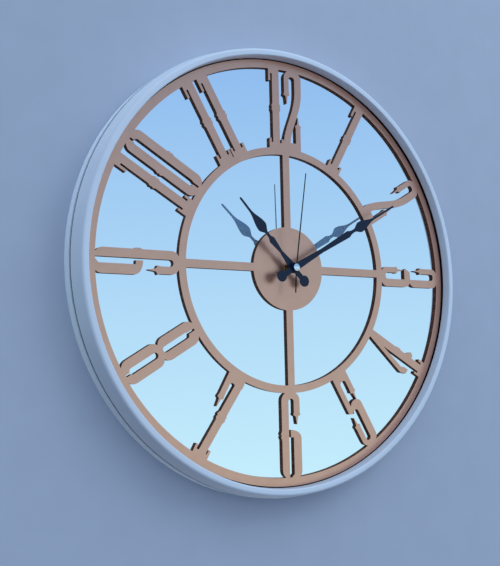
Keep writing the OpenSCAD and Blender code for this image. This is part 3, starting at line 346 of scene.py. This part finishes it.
def beam_charred_board(c):
    """Fibreboard edge burnt by the cutting beam: dark, with brown streaks across the thickness."""
    material, tree, place = start("beam_charred_board")
    # The streaks run through the board, so the pattern is drawn out along Y.
    drawn = add(tree, "ShaderNodeMapping", "Vector", {"Vector": place, "Scale": (1.0, 0.06, 1.0)})
    streak = add(tree, "ShaderNodeTexNoise", "Fac", {"Vector": drawn, "Scale": per_mm(1.1), "Detail": 3.0})
    base = blend(tree, streak, (tuple(c.char), tuple(c.char_light)), CHAR_SPAN)
    values = {"Base Color": base, "Specular IOR Level": 0.15}
    return close(material, streak, values, rough=(0.6, 0.85), height=streak, depth_mm=0.06)


def pressed_fibreboard(c):
    """Raw medium fibreboard: matt, with short pressed fibres."""
    material, tree, place = start("pressed_fibreboard")
    fibre = add(tree, "ShaderNodeTexNoise", "Fac", {"Vector": place, "Scale": per_mm(1.6), "Detail": 6.0})
    base = blend(tree, fibre, (tuple(c.hardboard), tuple(c.board)))
    return close(material, fibre, {"Base Color": base}, rough=(0.75, 0.9), height=fibre, depth_mm=0.05)


def silvered_glass(c):
    """Float glass silvered as a mirror: a clean sharp reflection with a trace of haze."""
    material, tree, place = start("silvered_glass")
    haze = add(tree, "ShaderNodeTexNoise", "Fac", {"Vector": place, "Scale": per_mm(55), "Detail": 3.0})
    return close(material, haze, {"Base Color": tuple(c.silver), "Metallic": 1.0}, rough=(0.005, 0.03))


def mirror_backing_paint(c):
    """Grey paint rolled on the mirror's back and edge: matt with a roller's stipple."""
    material, tree, place = start("mirror_backing_paint")
    stipple = add(tree, "ShaderNodeTexNoise", "Fac", {"Vector": place, "Scale": per_mm(1.5), "Detail": 3.0})
    base = blend(tree, stipple, (toned(c.mirror_paint, 0.85), tuple(c.mirror_paint)))
    return close(
        material, stipple, {"Base Color": base}, rough=(0.5, 0.65), height=stipple, depth_mm=0.03
    )


def stoved_enamel(name, tone):
    """Enamel stoved on stamped sheet: smooth, with a faint orange peel that softens its shine."""
    material, tree, place = start(name)
    peel = add(tree, "ShaderNodeTexNoise", "Fac", {"Vector": place, "Scale": per_mm(2.2), "Detail": 3.0})
    base = blend(tree, peel, (tuple(tone), toned(tone, 1.5)))
    values = {"Base Color": base, "IOR": 1.5, "Specular IOR Level": 0.3}
    return close(material, peel, values, rough=(0.28, 0.38), height=peel, depth_mm=0.02)


def sprayed_primer_with_painted_light(c):
    """Blue-grey primer sprayed on the back of the hands, lightened to paint in the light the mirror throws
    on them: dull, with a fine dry overspray.
    """
    material, tree, place = start("sprayed_primer_with_painted_light")
    speck = add(tree, "ShaderNodeTexNoise", "Fac", {"Vector": place, "Scale": per_mm(0.7), "Detail": 3.0})
    base = blend(tree, speck, (toned(c.primer_and_painted_light, 0.85), tuple(c.primer_and_painted_light)))
    return close(material, speck, {"Base Color": base}, rough=(0.45, 0.6), height=speck, depth_mm=0.02)


def black_foam_as_painted_shade(c):
    """Black closed-cell foam that paints the shade line: its cut cells swallow light, so it reads as a dark
    line.
    """
    material, tree, place = start("black_foam_as_painted_shade")
    cells = add(tree, "ShaderNodeTexVoronoi", "Distance", {"Vector": place, "Scale": per_mm(0.6)})
    base = blend(tree, cells, (tuple(c.foam_shade_black), toned(c.foam_shade_black, 2.0)))
    values = {"Base Color": base, "Specular IOR Level": 0.1}
    return close(material, cells, values, rough=(0.85, 1.0), height=cells, depth_mm=0.1)


def turned_metal(name, tone, rough):
    """Metal turned on a lathe and polished: rings round the arbor, too fine to count, soften its shine."""
    material, tree, place = start(name)
    centred = add(tree, "ShaderNodeMapping", "Vector", {"Vector": place, "Location": tuple(-ARBOR)})
    # Turning marks are about 0.05 mm apart, and are drawn at 2.5 mm so that they show.
    rings = add(
        tree, "ShaderNodeTexWave", "Fac",
        {"Vector": centred, "Scale": waves_per_mm(2.5), "Distortion": 0.4},
        wave_type="RINGS", rings_direction="Y",
    )
    base = blend(tree, rings, (toned(tone, 0.88), tuple(tone)))
    values = {"Base Color": base, "Metallic": 1.0}
    return close(material, rings, values, rough=rough, height=rings, depth_mm=0.004)


def plated_steel(c):
    """Stamped steel, zinc plated: pale grey, with the cloudy spangle of the plating."""
    material, tree, place = start("plated_steel")
    spangle = add(tree, "ShaderNodeTexVoronoi", "Distance", {"Vector": place, "Scale": per_mm(2.5)})
    base = blend(tree, spangle, (toned(c.steel, 0.8), tuple(c.steel)))
    return close(material, spangle, {"Base Color": base, "Metallic": 1.0}, rough=(0.26, 0.42))


def wet_process_hardboard(c):
    """Hardboard pressed on a wire screen: brown fibres under a fine woven imprint."""
    material, tree, place = start("wet_process_hardboard")
    fibre = add(tree, "ShaderNodeTexNoise", "Fac", {"Vector": place, "Scale": per_mm(2.4), "Detail": 7.0})
    # Screen wires are about 1 mm apart, and are drawn at 12.6 mm so that they show.
    warp, weft = (
        add(
            tree, "ShaderNodeTexWave", "Fac",
            {"Vector": place, "Scale": waves_per_mm(12.6), "Distortion": 1.2}, bands_direction=axis,
        )
        for axis in ("X", "Z")
    )
    weave = add(tree, "ShaderNodeMath", "Value", {0: warp, 1: weft}, operation="MULTIPLY")
    base = blend(tree, fibre, (tuple(c.hardboard_dark), tuple(c.hardboard)))
    return close(material, fibre, {"Base Color": base}, rough=(0.6, 0.8), height=weave, depth_mm=0.12)


def grained_black_abs(c):
    """Black ABS moulded in a spark-eroded tool: even matt grain that greys at its crests."""
    material, tree, place = start("grained_black_abs")
    # The tool's grain is about 0.1 mm, and is drawn at 0.6 mm so that it shows.
    pits = add(tree, "ShaderNodeTexNoise", "Fac", {"Vector": place, "Scale": per_mm(0.6), "Detail": 3.0})
    base = blend(tree, pits, (tuple(c.black), toned(c.black, 1.8)))
    values = {"Base Color": base, "IOR": 1.53}
    return close(material, pits, values, rough=(0.5, 0.68), height=pits, depth_mm=0.05)


def inner_finish(name, first, second, grain_mm, rough, metallic):
    """A small inner piece in its own two tones, moulded, wound or pressed at one grain size."""
    material, tree, place = start(name)
    grain = add(
        tree, "ShaderNodeTexNoise", "Fac", {"Vector": place, "Scale": per_mm(grain_mm), "Detail": 3.0}
    )
    base = blend(tree, grain, (linear(first), linear(second)))
    values = {"Base Color": base, "Metallic": metallic}
    spread = (rough * 0.85, rough * 1.15)
    return close(material, grain, values, rough=spread, height=grain, depth_mm=0.02)


def dress(material, *names):
    """Gives CAD nodes one material."""
    for name in names:
        NODES[name].data.materials.clear()
        NODES[name].data.materials.append(material)


def dress_by_side(name, front, edge, back):
    """Gives a flat CAD node one material on its face, one on its edges and one on its back."""
    mesh = NODES[name].data
    mesh.materials.clear()
    for material in (front, edge, back):
        mesh.materials.append(material)
    for face in mesh.polygons:
        face.material_index = 0 if face.normal.y < -FLAT_NORMAL else 2 if face.normal.y > FLAT_NORMAL else 1


def new_piece(name, bm, node):
    """Makes a piece on the clock's body in place of a CAD node, and hides that node."""
    mesh = bpy.data.meshes.new(name)
    bm.to_mesh(mesh)
    bm.free()
    mesh.shade_smooth()
    mesh.set_sharp_from_angle(angle=SHARP_EDGE)
    piece = bpy.data.objects.new(name, mesh)
    bpy.context.scene.collection.objects.link(piece)
    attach(piece, BODY)
    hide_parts(node)
    return piece


def crest_point(share, h):
    """Radius and height on the frame's outside, at a share of the way from its inner edge to its foot.

    The flat front takes the first quarter of the way, the side the last one, and the shoulder the rest.
    """
    corner = Vector((OPENING_R + h.face_w, FRONT))
    foot = Vector((RING_HIGH.x - h.step_w, SIDE_FOOT))
    side = (foot - corner).normalized()
    bend = math.acos(side.x)
    tangent = h.shoulder_round * math.tan(bend / 2)
    near, far = corner - Vector((tangent, 0)), corner + side * tangent
    quarters = share * 4
    if quarters <= 1:
        return Vector((OPENING_R + h.inner_round, FRONT)).lerp(near, quarters)
    if quarters >= 3:
        return far.lerp(foot, quarters - 3)
    turn = bend * (quarters - 1) / 2
    middle = near - Vector((0, h.shoulder_round))
    return middle + h.shoulder_round * Vector((math.sin(turn), math.cos(turn)))


def flat_fronted_frame(h):
    """The solid's moulding, with its crest drawn out to a flat front, a shoulder and a straight side."""
    bm = bmesh.new()
    bm.from_mesh(NODES["front_frame"].data)
    bmesh.ops.remove_doubles(bm, verts=bm.verts, dist=NEAR)
    crest_r = OPENING_R + CREST_ROUND
    out = RING_HIGH.x - h.step_w - FRAME_HIGH.x
    for vert in bm.verts:
        spoke = Vector((vert.co.x - ARBOR.x, vert.co.z - ARBOR.z))
        reach, height = spoke.length, -vert.co.y
        across = (reach - crest_r) / (FRAME_HIGH.x - crest_r)
        upright = (height - SIDE_FOOT) / (FRONT - SIDE_FOOT)
        place = Vector((reach, height))
        if reach < crest_r - NEAR and height > FRONT - CREST_ROUND - NEAR:
            corner = Vector((OPENING_R, FRONT))
            place = corner + (place - corner) * h.inner_round / CREST_ROUND
        elif min(across, upright) > -NEAR_SHARE and math.hypot(across, upright) > CREST_SHARE:
            place = crest_point(math.atan2(max(across, 0), max(upright, 0)) / (math.pi / 2), h)
        elif height < SIDE_FOOT and reach > FRAME_HIGH.x - SIDE_SKIN:
            place.x += out
        spoke *= place.x / reach
        vert.co = (ARBOR.x + spoke.x, -place.y, ARBOR.z + spoke.y)
    return new_piece("flat_fronted_frame", bm, "front_frame")


def foam_strip_painting_shade(h):
    """The strip between dial and frame, pressed out of its gap to a rounded black bead in the corner that
    paints the shade line there.
    """
    inner, outer = DIAL_HIGH.x + STRIP_PLAY, STRIP_HIGH.x
    back, face = -STRIP_HIGH.y, -DIAL_LOW.y + STRIP_LIFT
    bulge = [math.pi / 2 * i / BEAD_STEPS for i in range(BEAD_STEPS + 1)]
    bm = bmesh.new()
    rings = []
    for step in range(STRIP_STEPS):
        turn = 2 * math.pi * step / STRIP_STEPS
        # The dial leans to one side of its opening, so the bead swells there and dies out opposite; the
        # swell paints the shade line.
        swell = max(math.cos(turn - h.strip_shade_side), STRIP_REST)
        rise, lip = h.strip_rise * swell, inner - h.strip_lap * swell
        outline = [(outer, back), (inner, back), (inner, face)] + [
            (outer - (outer - lip) * math.cos(a), face + rise * math.sin(a)) for a in bulge
        ]
        rings.append([
            bm.verts.new((ARBOR.x + r * math.sin(turn), -z, ARBOR.z + r * math.cos(turn)))
            for r, z in outline
        ])
    for here, there in zip(rings, rings[1:] + rings[:1]):
        for i in range(len(here)):
            bm.faces.new((here[i - 1], here[i], there[i], there[i - 1]))
    bmesh.ops.recalc_face_normals(bm, faces=bm.faces)
    return new_piece("foam_strip_painting_shade", bm, "edge_strip")


class CLOCK_OT_frame(bpy.types.Operator):
    """Shapes the white frame, and finishes it and the ring behind it"""

    bl_idname = "clock.frame"
    bl_label = "Frame and rear ring"

    def execute(self, context):
        c = context.scene.clock_colours
        white = moulded_white_abs(c)
        dress(white, "rear_ring")
        mesh = flat_fronted_frame(context.scene.clock_shapes).data
        mesh.materials.append(white)
        # The groove's faces get grey dust with painted shade in it, so the joint reads as a dark line.
        mesh.materials.append(groove_dust_and_painted_shade(c))
        # The groove lies just in front of the rear ring, and outside the screw posts.
        for face in mesh.polygons:
            reach = math.hypot(face.center.x - ARBOR.x, face.center.z - ARBOR.z)
            if -face.center.y < GROOVE_TOP and reach > GROOVE_R:
                face.material_index = 1
        return {"FINISHED"}


class CLOCK_OT_mirror(bpy.types.Operator):
    """Silvers the mirror's face and paints its back"""

    bl_idname = "clock.mirror"
    bl_label = "Mirror"

    def execute(self, context):
        c = context.scene.clock_colours
        paint = mirror_backing_paint(c)
        dress_by_side("mirror", silvered_glass(c), paint, paint)
        return {"FINISHED"}


class CLOCK_OT_dial(bpy.types.Operator):
    """Finishes the copper face, burnt edges and raw back of the dial, and makes the black strip round it
    that paints the shade line
    """

    bl_idname = "clock.dial"
    bl_label = "Dial and strip"

    def execute(self, context):
        c = context.scene.clock_colours
        dress_by_side("dial_plate", rolled_copper_foil(c), beam_charred_board(c), pressed_fibreboard(c))
        foam_strip_painting_shade(context.scene.clock_shapes).data.materials.append(black_foam_as_painted_shade(c))
        return {"FINISHED"}


class CLOCK_OT_hands(bpy.types.Operator):
    """Enamels the three hands and polishes the cap"""

    bl_idname = "clock.hands"
    bl_label = "Hands and cap"

    def execute(self, context):
        c = context.scene.clock_colours
        primer_and_painted_light = sprayed_primer_with_painted_light(c)
        blue = stoved_enamel("stoved_blue_enamel", c.enamel)
        black = stoved_enamel("stoved_black_enamel", c.enamel_black)
        for name, enamel in (("hour_hand", blue), ("minute_hand", blue), ("second_hand", black)):
            dress_by_side(name, enamel, black, primer_and_painted_light)
        dress(turned_metal("polished_chrome", c.chrome, (0.05, 0.12)), "second_cap")
        return {"FINISHED"}


class CLOCK_OT_hub(bpy.types.Operator):
    """Finishes the brass pieces at the hub and the wheels on its pipes"""

    bl_idname = "clock.hub"
    bl_label = "Hub"

    def execute(self, context):
        c = context.scene.clock_colours
        dress(
            turned_metal("turned_brass", c.brass, (0.18, 0.3)),
            "threaded_bush", "nut", "washer", "cannon_pinion", "centre_wheel", "hour_wheel",
        )
        return {"FINISHED"}


class CLOCK_OT_back(bpy.types.Operator):
    """Finishes the board, and the steel pieces at the back and in the movement"""

    bl_idname = "clock.back"
    bl_label = "Back"

    def execute(self, context):
        c = context.scene.clock_colours
        dress(wet_process_hardboard(c), "backing_board")
        dress(
            plated_steel(c), "frame_screws", "hanger_plate", "hanger_screws",
            "positive_contact", "negative_contact", "stator",
        )
        return {"FINISHED"}


class CLOCK_OT_movement(bpy.types.Operator):
    """Finishes the movement's case, its battery and the pieces inside"""

    bl_idname = "clock.movement"
    bl_label = "Movement"

    def execute(self, context):
        dress(grained_black_abs(context.scene.clock_colours), "movement_case", "movement_cover")
        for name, (*look, nodes) in INNER_FINISHES.items():
            dress(inner_finish(name, *look), *nodes)
        return {"FINISHED"}


def plane(name, corners, material):
    """A flat backdrop, kept off the clock's body."""
    mesh = bpy.data.meshes.new(name)
    mesh.from_pydata(corners, [], [(0, 1, 2, 3)])
    mesh.materials.append(material)
    made = bpy.data.objects.new(name, mesh)
    bpy.context.scene.collection.objects.link(made)
    return made


def rolled_emulsion(name, tone):
    """Plain emulsion paint from a roller: matt, with a faint stipple."""
    material, tree, place = start(name)
    stipple = add(tree, "ShaderNodeTexNoise", "Fac", {"Vector": place, "Scale": per_mm(40), "Detail": 3.0})
    base = blend(tree, stipple, (toned(tone, 0.97), tuple(tone)))
    return close(material, stipple, {"Base Color": base, "Roughness": 0.9})


def clear_from_behind(material):
    """Lets a painted backdrop be seen through from its back."""
    tree = material.node_tree
    surface = tree.get_output_node("ALL").inputs["Surface"]
    paint = surface.links[0].from_socket
    behind = add(tree, "ShaderNodeNewGeometry", "Backfacing")
    clear = add(tree, "ShaderNodeBsdfTransparent", "BSDF")
    tree.links.new(add(tree, "ShaderNodeMixShader", "Shader", {0: behind, 1: paint, 2: clear}), surface)
    return material


def soft_lamp(name, side, distance, size, watts, tint):
    """A square area lamp that looks at the clock's centre from one side."""
    data = bpy.data.lights.new(name, "AREA")
    data.shape = "SQUARE"
    data.size = size
    data.energy = watts
    data.color = tint[:3]
    lamp = bpy.data.objects.new(name, data)
    away = Vector(side).normalized()
    lamp.location = DIAL_FRONT + away * distance
    lamp.rotation_mode = "QUATERNION"
    lamp.rotation_quaternion = (-away).to_track_quat("-Z", "Y")
    # The mirror shows clean sky: a lamp lights matt surfaces and isn't mirrored.
    lamp.visible_glossy = False
    bpy.context.scene.collection.objects.link(lamp)


def pale_sky(s):
    """Soft light for matt surfaces, and a pale sky for what is seen or mirrored."""
    world = bpy.data.worlds.new("pale_sky")
    bpy.context.scene.world = world
    world.use_nodes = True
    tree = world.node_tree
    tree.nodes.clear()
    look = add(tree, "ShaderNodeTexCoord", "Generated")
    height, sunny = (
        add(tree, "ShaderNodeMapRange", "Result", {
            "Value": add(tree, "ShaderNodeVectorMath", "Value", {0: look, 1: axis}, operation="DOT_PRODUCT"),
            "From Min": -1.0, "From Max": 1.0,
        })
        for axis in (Vector((0, 0, 1)), Vector(s.sunward).normalized())
    )
    seen_tone = add(tree, "ShaderNodeValToRGB", "Color", {"Fac": height})
    stops = seen_tone.node.color_ramp.elements
    for position in SKY_HEIGHTS[1:-1]:
        stops.new(position)
    for stop, position, tone in zip(stops, SKY_HEIGHTS, (s.ground, s.sky_low, s.sky_mid, s.sky_high)):
        stop.position = position
        stop.color = tuple(tone)
    sky = add(tree, "ShaderNodeBackground", "Background", {"Color": seen_tone, "Strength": 1.0})
    soft_tone = blend(tree, sunny, (tuple(s.ambient_low), tuple(s.ambient)), AMBIENT_SPAN)
    soft = add(tree, "ShaderNodeBackground", "Background", {"Color": soft_tone, "Strength": s.ambient_level})
    seen = add(tree, "ShaderNodeLightPath", "Is Camera Ray")
    for ray in ("Is Glossy Ray", "Is Transmission Ray"):
        mirrored = add(tree, "ShaderNodeLightPath", ray)
        seen = add(tree, "ShaderNodeMath", "Value", {0: seen, 1: mirrored}, operation="MAXIMUM")
    mixed = add(tree, "ShaderNodeMixShader", "Shader", {0: seen, 1: soft, 2: sky})
    add(tree, "ShaderNodeOutputWorld", None, {"Surface": mixed})


def photograph_camera(s):
    """The camera at the photograph's angle, distance and lens."""
    flat = math.cos(s.view_elevation)
    back = Vector((
        math.sin(s.view_azimuth) * flat, -math.cos(s.view_azimuth) * flat, math.sin(s.view_elevation)
    ))
    across = Vector((0, 0, 1)).cross(back).normalized()
    right = math.cos(s.view_roll) * across + math.sin(s.view_roll) * back.cross(across)
    turn = Matrix((right, back.cross(right), back)).transposed().to_4x4()
    data = bpy.data.cameras.new("camera")
    data.lens = s.lens
    camera = bpy.data.objects.new("camera", data)
    bpy.context.scene.collection.objects.link(camera)
    camera.matrix_world = Matrix.Translation(DIAL_FRONT + Vector(s.aim) + back * s.view_distance) @ turn
    bpy.context.scene.camera = camera


class CLOCK_OT_stage(bpy.types.Operator):
    """Sets up the camera, a plain wall and floor, the lamps and the world"""

    bl_idname = "clock.stage"
    bl_label = "Stage"

    def execute(self, context):
        s = context.scene.clock_stage
        photograph_camera(s)
        half = s.wall_size / 2
        low = ARBOR.z - s.floor_drop
        high = low + s.wall_size
        behind = RING_HIGH.y + WALL_GAP
        wall = plane(
            "wall",
            [(-half, behind, low), (half, behind, low), (half, behind, high), (-half, behind, high)],
            clear_from_behind(rolled_emulsion("wall_emulsion", s.wall)),
        )
        # The wall is only a backdrop: it throws no light or shadow at the clock, and isn't mirrored.
        for ray in ("visible_shadow", "visible_diffuse", "visible_glossy", "visible_transmission"):
            setattr(wall, ray, False)
        floor = plane(
            "floor",
            [(-half, -half, low), (half, -half, low), (half, half, low), (-half, half, low)],
            rolled_emulsion("floor_paint", s.floor),
        )
        # The floor is only a ground for other views: it throws no light up at the clock.
        floor.visible_diffuse = False
        pale_sky(s)
        soft_lamp("key", s.key_side, s.lamp_distance, s.key_size, s.key_power, s.key_tint)
        soft_lamp("back", s.back_side, s.lamp_distance, s.back_size, s.back_power, s.back_tint)
        context.scene.view_settings.view_transform = "Standard"
        return {"FINISHED"}


PIECES = (
    CLOCK_OT_frame, CLOCK_OT_mirror, CLOCK_OT_dial, CLOCK_OT_hands,
    CLOCK_OT_hub, CLOCK_OT_back, CLOCK_OT_movement, CLOCK_OT_stage,
)


class CLOCK_PT_sidebar(bpy.types.Panel):
    """Lists the clock's pieces, and its colours, sizes and stage"""

    bl_idname = "CLOCK_PT_sidebar"
    bl_label = "Mirror wall clock"
    bl_space_type = "VIEW_3D"
    bl_region_type = "UI"
    bl_category = "Clock"

    def draw(self, context):
        column = self.layout.column(align=True)
        for piece in PIECES:
            column.operator(piece.bl_idname)
        scene = context.scene
        for group in (scene.clock_colours, scene.clock_shapes, scene.clock_stage):
            column = self.layout.column(align=True)
            for name in group.__annotations__:
                column.prop(group, name)


CLASSES = (ClockColours, ClockShapes, ClockStage, *PIECES, CLOCK_PT_sidebar)


def register():
    for cls in CLASSES:
        bpy.utils.register_class(cls)
    bpy.types.Scene.clock_colours = bpy.props.PointerProperty(type=ClockColours)
    bpy.types.Scene.clock_shapes = bpy.props.PointerProperty(type=ClockShapes)
    bpy.types.Scene.clock_stage = bpy.props.PointerProperty(type=ClockStage)


def unregister():
    del bpy.types.Scene.clock_stage
    del bpy.types.Scene.clock_shapes
    del bpy.types.Scene.clock_colours
    for cls in reversed(CLASSES):
        bpy.utils.unregister_class(cls)


def main():
    register()
    bpy.ops.clock.frame()
    bpy.ops.clock.mirror()
    bpy.ops.clock.dial()
    bpy.ops.clock.hands()
    bpy.ops.clock.hub()
    bpy.ops.clock.back()
    bpy.ops.clock.movement()
    bpy.ops.clock.stage()


if __name__ == "__main__":
    main()
